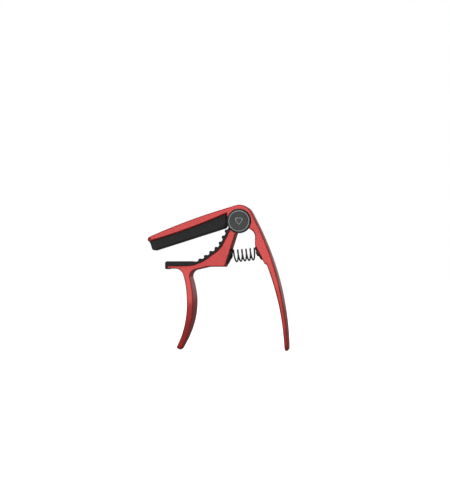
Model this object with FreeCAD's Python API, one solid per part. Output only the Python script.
"""Trigger capo for a guitar neck: two castings on one pivot, two pads and a closing spring.

Every piece is drawn about the pivot, with X towards the lever, Z up and the pivot's axis along Y.
It is then moved so that the origin is the middle of the neck seat, the flat top of the jaw pad.
"""
import FreeCAD, Part
import math
import os

V = FreeCAD.Vector
ACROSS = V(0, 1, 0)

# ------------------------------------------------------------------ driving sizes (mm, degrees)
# pivot, as seen from the middle of the neck seat
pivot_reach = 37.0
pivot_height = 24.8

# upper casting: arm, hub and lever
arm_hang = 17.0             # slope of the closed arm below level
arm_reach = 59.5            # pivot to the arm's tip, along the arm
arm_rise = 10.2             # arm's top edge above the pivot at the hub
arm_bar = 3.25              # height of the bar over the pad
arm_tip_drop = 2.5          # how much lower the top edge ends
arm_tip_taper = 0.6         # how much thinner the bar ends
arm_bow = 0.85              # how much the bar bulges upward
arm_half_width = 5.5
arm_tip_round = 4.0         # rounding of the tip, seen from above
hub_round = 8.5
lever_offset = 9.3          # lever's back, as a distance from the pivot
lever_lean = 27.0           # direction that the back faces at the hub
lever_curve = 181.0
lever_end_way = 93.0        # direction of the back at the tip
lever_reach = 79.9          # pivot down to the lever's tip
lever_spread = 30.35        # pivot out to the lever's tip
lever_tip = 2.2             # thickness at the tip
lever_tip_round = 0.93
lever_inner_bow = 1.95
lever_root_x = 9.9          # inner edge just under the hub
throat_slope = 37.0
throat_round = 5.0
boss_x = 12.9               # middle of the spring boss
boss_z = -20.9
boss_tilt = 27.8            # boss face, turned down from facing the trigger
boss_half_length = 6.5
boss_step = 1.5
boss_step_turn = 38.0
lever_widths = ((-9.0, 5.5), (-42.0, 7.2), (-66.0, 6.9))
lever_end_half_width = 6.3
lever_end_round = 4.6
lever_end_drop = 0.8        # the width outline's end below the tip, so that they meet at an angle
heel_reach = 7.9            # short heel that ends the string pad's seat
heel_level = 2.2
heel_round = 0.9
arm_edge = 0.85             # rounding of the casting's long edges
arm_corner = 1.1            # rounding of its outline's corners

# lower casting: neck, spring block, lip and trigger
jaw_half_width = 5.3
neck_knee_x = -11.6
neck_knee_z = -17.0
neck_slope = 63.4
neck_thickness = 3.2
neck_knee_round = 15.0
ramp_slope = 36.0
ramp_foot_round = 24.0
lip_reach = 45.6            # pivot to the lip's end
lip_thickness = 1.7
lip_corner = 0.75
block_drop = 0.5            # block's underside below the lip's top
block_corner_x = -9.0
block_heel_x = -19.8
block_tilt = 17.9           # spring face, turned down from facing the lever
block_face_top = 16.1       # top of the spring face below the pivot
block_round = 8.0
trigger_root_x = -36.7
trigger_thickness = 4.5
trigger_reach = 80.6        # pivot down to the trigger's tip
trigger_tip_x = -40.4
trigger_tip = 3.0
trigger_tip_slant = 1.3
trigger_bow = 4.9
trigger_back_drop = 1.6
trigger_front_round = 5.5
trigger_back_round = 4.5
trigger_widths = ((-31.0, 5.3), (-50.0, 7.8), (-62.0, 6.6), (-72.0, 4.6))
trigger_end_half_width = 3.2
trigger_end_round = 2.8
jaw_edge = 0.62
jaw_corner = 1.1

# string pad, with a rail on its back in a groove of the arm
string_face_drop = 1.2      # pressing face below the pivot, square to the arm
string_pad_half_width = 4.4
string_pad_heel_x = -8.5
string_pad_end = 1.0        # pad's end short of the arm's tip
string_pad_end_round = 1.5
string_pad_heel_round = 2.2
string_pad_edge = 0.7
nose_end = 0.6
nose_thickness = 1.2
rail_half_width = 2.4
rail_height = 1.3
rail_inset = 4.0
rail_clearance = 0.1

# jaw pad: flat neck seat, ribbed ramp and a hook over the lip
jaw_pad_thickness = 3.0
jaw_pad_half_width = 5.1
jaw_pad_skin = 1.6
jaw_pad_top = 3.8           # upper end below the pivot
jaw_pad_flat = 16.0
jaw_pad_flat_round = 0.9
jaw_pad_wall = 1.6
jaw_pad_wall_round = 1.2
jaw_pad_hook = 0.3
rib_count = 7
rib_pitch = 4.2
rib_radius = 1.1
rib_lift = 0.1
first_rib = 2.7

# hub stack along the pivot
pin_radius = 2.0
pin_fit = 0.02
pin_overrun = 0.5
pin_head_radius = 3.2
pin_head_height = 1.0
bushing_wall = 0.75
bushing_press = 0.01
tongue_half_width = 2.0
tongue_radius = 5.4
washer_thickness = 0.34
washer_play = 0.06
washer_radius = 5.2
washer_bore_gap = 0.05
slot_clearance = 0.4
ear_radius = 5.8
front_ear = 1.6             # thickness of the ear on the cap's side
rear_ear = 2.0
clip_radius = 3.6
clip_thickness = 0.5
clip_groove = 0.45
clip_mouth = 1.3
clip_relief = 0.7
front_cap_radius = 7.55
front_cap_height = 2.4
rear_cap_radius = 5.7
rear_cap_height = 2.1
cap_wall = 0.75
cap_edge = 0.5
cap_gap = 0.15
rim_width = 1.08            # raised bezel round the ring
rim_height = 0.5
ring_width = 0.5
ring_height = 0.4
badge_height = 0.42
badge_edge = 0.15
trim_gap = 0.05
shoulder_gap = 0.3
stop_reach = 7.4            # lug on the tongue that meets the heel
stop_gap = 0.05
stop_height = 3.6
stop_taper = 1.2
stop_round = 0.6

# spring and its two seats
wire_radius = 0.5
coil_radius = 3.6
spring_turns = 5.0
spring_gap = 0.06
jaw_seat_radius = 5.2
lever_seat_radius = 4.7
jaw_seat_thickness = 0.8
lever_seat_thickness = 1.2
seat_edge = 0.3
seat_level = 21.6           # block's seat below the pivot
lever_seat_shift = 1.5      # lever's seat above the boss's middle, along its face
seat_nub_radius = 2.2
seat_nub_top_radius = 1.3
seat_nub_height = 1.0
seat_plug_radius = 1.5
seat_plug_length = 2.0
plug_gap = 0.05
plug_end_gap = 0.2

# ------------------------------------------------------------------ derived places
jaw_level = -(pivot_height + jaw_pad_thickness)
lip_under = jaw_level - lip_thickness
block_under = jaw_level - block_drop
ear_gap = tongue_half_width + washer_thickness + washer_play
front_face = ear_gap + front_ear
rear_face = ear_gap + rear_ear
slot_radius = tongue_radius + slot_clearance
ring_outer = front_cap_radius - rim_width
ring_inner = ring_outer - ring_width
cap_floor = front_face + front_cap_height - rim_height
far_out = 60.0              # longer than any piece, for cutting tools


# ------------------------------------------------------------------ drawing helpers
def unit(angle):
    """Direction in the side view, in degrees from +X towards +Z."""
    return V(math.cos(math.radians(angle)), 0, math.sin(math.radians(angle)))


def along_arm(out, up):
    """Point at a distance along the closed arm and a height square to it."""
    return unit(180 + arm_hang) * out + unit(90 + arm_hang) * up


def meet(point_a, angle_a, point_b, angle_b):
    """Where two lines of the side view cross."""
    a, b = unit(angle_a), unit(angle_b)
    gap = point_b - point_a
    return point_a + a * ((gap.x * b.z - gap.z * b.x) / (a.x * b.z - a.z * b.x))


def bow(start, end, rise):
    """Corner and radius of a shallow arc that bulges to the left of its chord."""
    chord = end - start
    half = chord.Length / 2
    left = V(-chord.z, 0, chord.x).normalize()
    radius = (half ** 2 + rise ** 2) / (2 * abs(rise))
    corner_height = half * math.tan(math.asin(half / radius))
    return (start + end) * 0.5 + left * math.copysign(corner_height, rise), radius * 0.85


def rounded_edges(corners):
    """Straight runs and tangent arcs through (point, radius) corners; the closing run comes first."""
    count = len(corners)
    points = [point for point, radius in corners]
    inward, outward, half_turns, cuts = [], [], [], []
    for i, (point, radius) in enumerate(corners):
        inward.append((points[i - 1] - point).normalize())
        outward.append((points[(i + 1) % count] - point).normalize())
        half_turns.append((math.pi - inward[i].getAngle(outward[i])) / 2)
        cuts.append(radius * math.tan(half_turns[i]))
    share = [1.0] * count
    for i in range(count):
        after = (i + 1) % count
        room = 0.995 * (points[after] - points[i]).Length / max(cuts[i] + cuts[after], 1e-9)
        share[i] = min(share[i], room)
        share[after] = min(share[after], room)
    cuts = [cut * part for cut, part in zip(cuts, share)]
    edges = []
    for i in range(count):
        start = points[i] + inward[i] * cuts[i]
        end = points[i] + outward[i] * cuts[i]
        before = points[i - 1] + outward[i - 1] * cuts[i - 1]
        if (start - before).Length > 1e-6:
            edges.append(Part.LineSegment(before, start).toShape())
        if cuts[i] > 1e-6:
            radius = cuts[i] / math.tan(half_turns[i])
            towards_centre = (inward[i] + outward[i]).normalize()
            middle = points[i] + towards_centre * (math.hypot(cuts[i], radius) - radius)
            edges.append(Part.Arc(start, middle, end).toShape())
    return edges


def plate(corners, half_width):
    """Side outline given its width across the capo."""
    face = Part.Face(Part.Wire(rounded_edges(corners)))
    face.translate(ACROSS * -half_width)
    return face.extrude(ACROSS * (2 * half_width))


def width_plate(half):
    """Block whose width changes with height, from (level, half width, radius) corners."""
    corners = [(V(width, 0, level), radius) for level, width, radius in half]
    corners += [(V(-point.x, 0, point.z), radius) for point, radius in reversed(corners)]
    face = Part.Face(Part.Wire(rounded_edges(corners)))
    face.rotate(V(0, 0, 0), V(0, 0, 1), 90)
    face.translate(V(-far_out, 0, 0))
    return face.extrude(V(2 * far_out, 0, 0))


def disc(radius, low, high):
    """Round plate about the pivot between two places along its axis."""
    return Part.makeCylinder(radius, high - low, V(0, low, 0), ACROSS)


def sleeve(outer, inner, low, high):
    return disc(outer, low, high).cut(disc(inner, low - 1, high + 1))


def sharp_edges(shape, wanted):
    """Edges whose two faces meet at an angle, where wanted says yes to the edge's middle."""
    found = []
    for edge in shape.Edges:
        faces = shape.ancestorsOfType(edge, Part.Face)
        middle = edge.valueAt((edge.FirstParameter + edge.LastParameter) / 2)
        if len(faces) != 2 or not wanted(middle):
            continue
        normals = [face.normalAt(*face.Surface.parameter(middle)) for face in faces]
        if math.degrees(normals[0].getAngle(normals[1])) > 20:
            found.append(edge)
    return found


def eased(shape, radius, wanted=lambda point: True):
    """Shape with its sharp edges rounded."""
    return shape.makeFillet(radius, sharp_edges(shape, wanted))


# ------------------------------------------------------------------ places that pieces share
def underside():
    """Ends of the line between the arm's bar and its pad: at the heel and at the tip."""
    near = meet(V(-heel_reach, 0, 0), 90, along_arm(0, arm_rise - arm_bar), arm_hang)
    far = along_arm(arm_reach, arm_rise - arm_bar - arm_tip_drop + arm_tip_taper)
    return near, far


def jaw_line(lift, top_level):
    """Jaw's inner edge, moved out by lift: corners from the hub down to the lip."""
    neck_way, ramp_way = 180 + neck_slope, 180 + ramp_slope
    knee = V(neck_knee_x, 0, neck_knee_z)
    neck = knee + unit(neck_way - 90) * lift
    ramp = knee + unit(ramp_way - 90) * lift
    top = meet(neck, neck_way, V(0, 0, top_level), 0)
    moved_knee = meet(neck, neck_way, ramp, ramp_way)
    foot = meet(ramp, ramp_way, V(0, 0, jaw_level + lift), 0)
    return [(top, 0.0), (moved_knee, neck_knee_round - lift), (foot, ramp_foot_round - lift)]


def jaw_seat_place():
    """Centre of the spring seat on the block, and the direction it faces."""
    corner = V(block_corner_x, 0, block_under)
    return meet(corner, 90 - block_tilt, V(0, 0, -seat_level), 0), unit(-block_tilt)


def lever_seat_place():
    """Centre of the spring seat on the lever's boss, and the direction it faces."""
    centre = V(boss_x, 0, boss_z) - unit(boss_tilt - 90) * lever_seat_shift
    return centre, unit(180 + boss_tilt)


# ------------------------------------------------------------------ castings
def arm_outline():
    """Arm, hub and lever from the side, clockwise from the arm's tip."""
    tip = along_arm(arm_reach, arm_rise - arm_tip_drop)
    hub_top = along_arm(4.0, arm_rise)
    top_bow = bow(hub_top, tip, -arm_bow)
    rise_way = math.degrees(math.atan2(hub_top.z - top_bow[0].z, hub_top.x - top_bow[0].x))
    back, back_way = unit(lever_lean) * lever_offset, lever_lean - 90
    lever_end = V(lever_spread, 0, -lever_reach)
    lever_front = V(lever_spread - lever_tip, 0, -lever_reach)
    boss, boss_way = V(boss_x, 0, boss_z), boss_tilt - 90
    boss_low = boss + unit(boss_way) * boss_half_length
    step = boss_low + unit(boss_way + boss_step_turn) * boss_step
    root = meet(boss, boss_way, V(lever_root_x, 0, 0), 90)
    throat_way = -throat_slope
    near, far = underside()
    return [
        (tip, arm_corner * 1.5),
        top_bow,
        (meet(hub_top, rise_way, back, back_way), hub_round),
        (meet(back, back_way, lever_end, lever_end_way), lever_curve),
        (lever_end, lever_tip_round),
        (lever_front, lever_tip_round),
        bow(lever_front, step, -lever_inner_bow),
        (step, arm_corner),
        (boss_low, arm_corner),
        (root, 2.0),
        (meet(V(lever_root_x, 0, 0), 90, V(0, 0, 0), throat_way), throat_round),
        (unit(throat_way) * (ear_radius / 2), 0.0),
        (V(-ear_radius / 2, 0, heel_level), 0.0),
        (V(-heel_reach, 0, heel_level), heel_round),
        (near, 0.3),
        bow(far, near, -arm_bow),
        (far, arm_corner),
    ]


def arm_plan():
    """The arm from above: a straight bar with a rounded tip, and no limit beyond the hub."""
    tip_x = along_arm(arm_reach, arm_rise - arm_tip_drop).x - arm_corner / 2
    half = [
        (V(far_out, 0, far_out), 0.0),
        (V(-front_cap_radius, 0, far_out), 0.0),
        (V(-front_cap_radius, 0, arm_half_width), 0.0),
        (V(tip_x, 0, arm_half_width), arm_tip_round),
    ]
    corners = half + [(V(point.x, 0, -point.z), radius) for point, radius in reversed(half)]
    face = Part.Face(Part.Wire(rounded_edges(corners)))
    face.rotate(V(0, 0, 0), V(1, 0, 0), -90)
    face.translate(V(0, 0, -2 * far_out))
    return face.extrude(V(0, 0, 4 * far_out))


def rail(gap):
    """Rail on the string pad's back; with a gap, the groove that it slides in."""
    near, far = underside()
    way = (far - near).normalize()
    inner = near + way * (rail_inset - gap)
    outer = far - way * (string_pad_end + rail_inset - gap)
    up = unit(90 + arm_hang)
    roof = up * (rail_height + gap)
    floor = up * -1.0
    share = ((outer - inner).Length / (far - near).Length) ** 2
    crown = bow(outer + roof, inner + roof, -arm_bow * share)
    corners = [(inner + floor, 0.0), (outer + floor, 0.0), (outer + roof, 0.4), crown, (inner + roof, 0.4)]
    return plate(corners, rail_half_width + gap)


def seat_plug(place, facing, thickness, gap):
    """Plug behind a spring seat; with a gap, the blind hole that it sits in."""
    start = place + facing * thickness
    length = seat_plug_length + thickness + (plug_end_gap if gap else 0)
    return Part.makeCylinder(seat_plug_radius + gap, length, start, facing * -1)


def clamp_arm():
    half = [(far_out, arm_half_width, 0.0)]
    half += [(level, width, 80.0) for level, width in lever_widths]
    half.append((-lever_reach - lever_end_drop, lever_end_half_width, lever_end_round))
    blank = plate(arm_outline(), far_out / 2).common(width_plate(half)).common(arm_plan())
    body = eased(blank, arm_edge)
    body = body.fuse(disc(ear_radius, -front_face, rear_face))
    body = body.cut(disc(slot_radius, -ear_gap, ear_gap))
    body = body.cut(disc(front_cap_radius + cap_gap, -far_out, -front_face))
    body = body.cut(disc(rear_cap_radius + cap_gap, rear_face, far_out))
    body = body.cut(disc(pin_radius + pin_fit, -far_out, far_out))
    body = body.cut(rail(rail_clearance))
    return body.cut(seat_plug(*lever_seat_place(), 0.5, plug_gap))


def jaw_outline():
    """Neck, ramp, lip, trigger and spring block from the side, counterclockwise from the hub."""
    inner = jaw_line(0.0, -ear_radius / 3)
    lip_end = V(-lip_reach, 0, jaw_level)
    front_root = V(trigger_root_x, 0, lip_under)
    front_tip = V(trigger_tip_x, 0, -trigger_reach + trigger_tip_slant)
    back_tip = V(trigger_tip_x + trigger_tip, 0, -trigger_reach)
    back_root = front_root + V(trigger_thickness, 0, -trigger_back_drop)
    neck_back = inner[0][0] + V(neck_thickness / math.sin(math.radians(neck_slope)), 0, 0)
    corner = V(block_corner_x, 0, block_under)
    return inner + [
        (lip_end, lip_corner),
        (lip_end - V(0, 0, lip_thickness), lip_corner),
        (front_root, trigger_front_round),
        bow(front_root, front_tip, trigger_bow),
        (front_tip, jaw_corner),
        (back_tip, jaw_corner),
        bow(back_tip, back_root, -trigger_bow),
        (back_root, trigger_back_round),
        (V(block_heel_x, 0, block_under), block_round),
        (corner, jaw_corner),
        (meet(corner, 90 - block_tilt, V(0, 0, -block_face_top), 0), block_round),
        (neck_back, 0.0),
    ]


def stop_lug():
    """Lug on the tongue that the arm's heel comes down on when the capo is shut."""
    top = heel_level - stop_gap
    corners = [
        (V(-stop_reach, 0, top), stop_round),
        (V(0, 0, top), 0.0),
        (V(0, 0, top - stop_height), 0.0),
        (V(-stop_reach + stop_taper, 0, top - stop_height), stop_round),
    ]
    return plate(corners, tongue_half_width)


def trigger_jaw():
    half = [(far_out, jaw_half_width, 0.0)]
    half += [(level, width, 40.0) for level, width in trigger_widths]
    half.append((-trigger_reach, trigger_end_half_width, trigger_end_round))
    blank = plate(jaw_outline(), far_out / 2).common(width_plate(half))
    body = eased(blank, jaw_edge)
    ear_room = ear_radius + shoulder_gap
    body = body.cut(disc(ear_room, -far_out, far_out))
    body = body.cut(disc(front_cap_radius + shoulder_gap, -far_out, -front_face + shoulder_gap))
    neck = plate(jaw_outline(), tongue_half_width).common(disc(ear_room + 1, -far_out, far_out))
    body = body.fuse([disc(tongue_radius, -tongue_half_width, tongue_half_width), neck, stop_lug()])
    body = body.cut(disc(pin_radius + bushing_wall + bushing_press, -far_out, far_out))
    return body.cut(seat_plug(*jaw_seat_place(), 0.5, plug_gap))


# ------------------------------------------------------------------ pads
def string_pad():
    """Bar that presses the strings: flat face, rail on its back and a thin nose at the tip."""
    near, far = underside()
    way = (far - near).normalize()
    up = unit(90 + arm_hang)
    heel, face = V(string_pad_heel_x, 0, 0), along_arm(0, -string_face_drop)
    face_end = along_arm(arm_reach - string_pad_end, -string_face_drop)
    bar = [
        (meet(face_end, 90 + arm_hang, far + up * 2, arm_hang), 0.0),
        (meet(heel, 90, near + up * 2, arm_hang), 0.0),
        (meet(heel, 90, face, arm_hang), string_pad_heel_round),
        (face_end, string_pad_end_round),
    ]
    nose_tip = far - way * nose_end
    nose_root = far - way * (string_pad_end + 1)
    nose = [
        (nose_tip + up, 0.0),
        (nose_root + up, 0.0),
        (nose_root - up * nose_thickness, 0.0),
        (nose_tip - up * nose_thickness, nose_thickness / 3),
    ]
    body = eased(plate(bar, string_pad_half_width), string_pad_edge, lambda point: point.dot(up) < 0)
    body = body.fuse(plate(nose, string_pad_half_width - string_pad_edge))
    body = body.cut(plate(arm_outline(), far_out))
    return body.fuse(rail(0.0).common(plate(arm_outline(), far_out))).removeSplitter()


def jaw_pad():
    """Neck seat, ribbed ramp and the wall that hooks over the lip's end."""
    inner = jaw_line(0.0, -jaw_pad_top)
    outer = jaw_line(jaw_pad_skin, -jaw_pad_top)
    end = V(-lip_reach, 0, jaw_level)
    skin = inner + [(end, 0.0), (end + V(0, 0, jaw_pad_skin), 0.0)] + list(reversed(outer))
    flat_end = V(-pivot_reach + jaw_pad_flat / 2, 0, -pivot_height)
    wall_top = V(-lip_reach - jaw_pad_wall, 0, -pivot_height)
    hook_level = lip_under - jaw_pad_hook
    seat = [
        (flat_end, jaw_pad_flat_round),
        (V(flat_end.x + jaw_pad_flat_round, 0, jaw_level + jaw_pad_skin / 2), 0.0),
        (end, 0.0),
        (V(end.x, 0, hook_level), 0.3),
        (V(wall_top.x, 0, hook_level), jaw_pad_wall / 2.5),
        (wall_top, jaw_pad_wall_round),
    ]
    pieces = [plate(seat, jaw_pad_half_width)]
    line = jaw_line(jaw_pad_skin + rib_lift, -jaw_pad_top) + [(end, 0.0)]
    path = Part.Wire(rounded_edges(line)[1:])
    for place in points_along(path, [first_rib + i * rib_pitch for i in range(rib_count)]):
        pieces.append(Part.makeCylinder(
            rib_radius, 2 * jaw_pad_half_width, place - ACROSS * jaw_pad_half_width, ACROSS))
    body = plate(skin, jaw_pad_half_width).fuse(pieces)
    body = body.cut(plate(jaw_outline(), far_out))
    body = body.cut(disc(ear_radius + shoulder_gap, -far_out, far_out))
    cap_room = disc(front_cap_radius + shoulder_gap, -far_out, -front_face + shoulder_gap)
    return body.cut(cap_room).removeSplitter()


def points_along(path, lengths):
    """Points on a wire at distances from its start."""
    places = []
    for length in lengths:
        for edge in path.OrderedEdges:
            if length <= edge.Length:
                places.append(edge.valueAt(edge.getParameterByLength(length)))
                break
            length -= edge.Length
    return places


# ------------------------------------------------------------------ hub stack
def pivot_pin():
    end = rear_face + clip_thickness + pin_overrun
    body = disc(pin_radius, -front_face, end)
    body = body.makeChamfer(pin_overrun / 2, [edge for edge in body.Edges if abs(edge.BoundBox.YMin - end) < 1e-6])
    head = disc(pin_head_radius, -front_face - pin_head_height, -front_face)
    head = head.makeFillet(pin_head_height / 2, [
        edge for edge in head.Edges if edge.BoundBox.YMax < -front_face - pin_head_height / 2])
    groove = sleeve(pin_radius + 1, pin_radius - clip_groove, rear_face, rear_face + clip_thickness)
    return body.fuse(head).cut(groove)


def pivot_bushing():
    return sleeve(pin_radius + bushing_wall, pin_radius + pin_fit, -tongue_half_width, tongue_half_width)


def thrust_washer(side):
    low, high = sorted((side * (ear_gap - washer_thickness), side * ear_gap))
    return sleeve(washer_radius, pin_radius + washer_bore_gap, low, high)


def retaining_ring():
    """E-clip: an open ring with two reliefs either side of its back."""
    low, high = rear_face, rear_face + clip_thickness
    body = sleeve(clip_radius, pin_radius - clip_groove, low, high)
    body = body.cut(Part.makeBox(2 * clip_mouth, 2, clip_radius + 1, V(-clip_mouth, low - 1, -clip_radius - 1)))
    reach = (clip_radius + pin_radius) / 2
    for side in (-1, 1):
        relief = unit(90 + side * 62) * (reach - clip_relief / 2) + V(0, low - 1, 0)
        body = body.cut(Part.makeCylinder(clip_relief, 3, relief, ACROSS))
    return body


def hub_cap_front():
    """Round cover with a raised bezel in front and a hollow for the pin's head behind."""
    outer = front_face + front_cap_height
    body = disc(front_cap_radius, -outer, -front_face)
    body = body.makeFillet(cap_edge, [edge for edge in body.Edges if edge.BoundBox.YMax < -outer + 0.01])
    body = body.cut(disc(ring_outer + trim_gap, -far_out, -cap_floor))
    hollow = disc(pin_head_radius + cap_gap, -front_face - pin_head_height - cap_gap, -front_face)
    return body.cut(hollow)


def cap_ring_front():
    return sleeve(ring_outer, ring_inner, -cap_floor - ring_height, -cap_floor)


def cap_badge_front():
    badge = disc(ring_inner - trim_gap, -cap_floor - badge_height, -cap_floor)
    front = [edge for edge in badge.Edges if edge.BoundBox.YMax < -cap_floor - badge_height / 2]
    return badge.makeFillet(badge_edge, front)


def hub_cap_rear():
    """Plain domed cover over the pin's end and its clip."""
    outer = rear_face + rear_cap_height
    body = disc(rear_cap_radius, rear_face, outer)
    body = body.makeFillet(cap_edge * 1.6, [edge for edge in body.Edges if edge.BoundBox.YMin > outer - 0.01])
    return body.cut(disc(clip_radius + cap_gap, rear_face, outer - cap_wall))


# ------------------------------------------------------------------ spring and seats
def spring_seat(place, facing, radius, thickness):
    """Round seat with a nub inside the coil and a plug in the casting."""
    body = Part.makeCylinder(radius, thickness, place, facing)
    rim = [edge for edge in body.Edges if (edge.CenterOfMass - place).dot(facing) > thickness * 0.9]
    body = body.makeFillet(seat_edge, rim)
    top = place + facing * thickness
    nub = Part.makeCone(seat_nub_radius, seat_nub_top_radius, seat_nub_height, top, facing)
    return body.fuse([nub, seat_plug(place, facing, thickness / 2, 0.0)])


def spring_line():
    """Ends of the spring's axis between the seats, at the centres of its end wires."""
    jaw_place, jaw_way = jaw_seat_place()
    lever_place, lever_way = lever_seat_place()
    start = jaw_place + jaw_way * jaw_seat_thickness
    end = lever_place + lever_way * lever_seat_thickness
    axis = (end - start).normalize()
    rooms = []
    for tilt in (axis.getAngle(jaw_way), (axis * -1).getAngle(lever_way)):
        rooms.append(coil_radius * math.tan(tilt) + (wire_radius + spring_gap) / math.cos(tilt))
    return start + axis * rooms[0], end - axis * rooms[1]


def main_spring():
    """Closing spring: a wire on a helix between the seats, its ends up where the seats come nearest."""
    start, end = spring_line()
    length = (end - start).Length
    helix = Part.makeHelix(length / spring_turns, length, coil_radius)
    wire = Part.Wire(Part.makeCircle(wire_radius, V(coil_radius, 0, 0), ACROSS))
    spring = Part.Wire(helix.Edges).makePipeShell([wire], True, True)
    spring.rotate(V(0, 0, 0), V(0, 0, 1), 180)
    spring.rotate(V(0, 0, 0), V(0, 1, 0), 90 - math.degrees(math.atan2((end - start).z, (end - start).x)))
    spring.translate(start)
    return Part.Solid(spring)


# ------------------------------------------------------------------ files
NODES = {
    "clamp_arm": clamp_arm(),
    "trigger_jaw": trigger_jaw(),
    "string_pad": string_pad(),
    "jaw_pad": jaw_pad(),
    "pivot_pin": pivot_pin(),
    "pivot_bushing": pivot_bushing(),
    "thrust_washer_front": thrust_washer(-1),
    "thrust_washer_rear": thrust_washer(1),
    "retaining_ring": retaining_ring(),
    "hub_cap_front": hub_cap_front(),
    "cap_ring_front": cap_ring_front(),
    "cap_badge_front": cap_badge_front(),
    "hub_cap_rear": hub_cap_rear(),
    "spring_seat_jaw": spring_seat(*jaw_seat_place(), jaw_seat_radius, jaw_seat_thickness),
    "spring_seat_lever": spring_seat(*lever_seat_place(), lever_seat_radius, lever_seat_thickness),
    "main_spring": main_spring(),
}

os.makedirs("parts", exist_ok=True)
for name, shape in NODES.items():
    shape.translate(V(pivot_reach, 0, pivot_height))
    shape.exportStep("parts/" + name + ".step")
    box = shape.BoundBox
    print(f"{name:20s} valid {shape.isValid()}  solids {len(shape.Solids)}  {shape.Volume:8.1f} mm3",
          f" {box.XLength:5.1f} x {box.YLength:5.1f} x {box.ZLength:5.1f}")
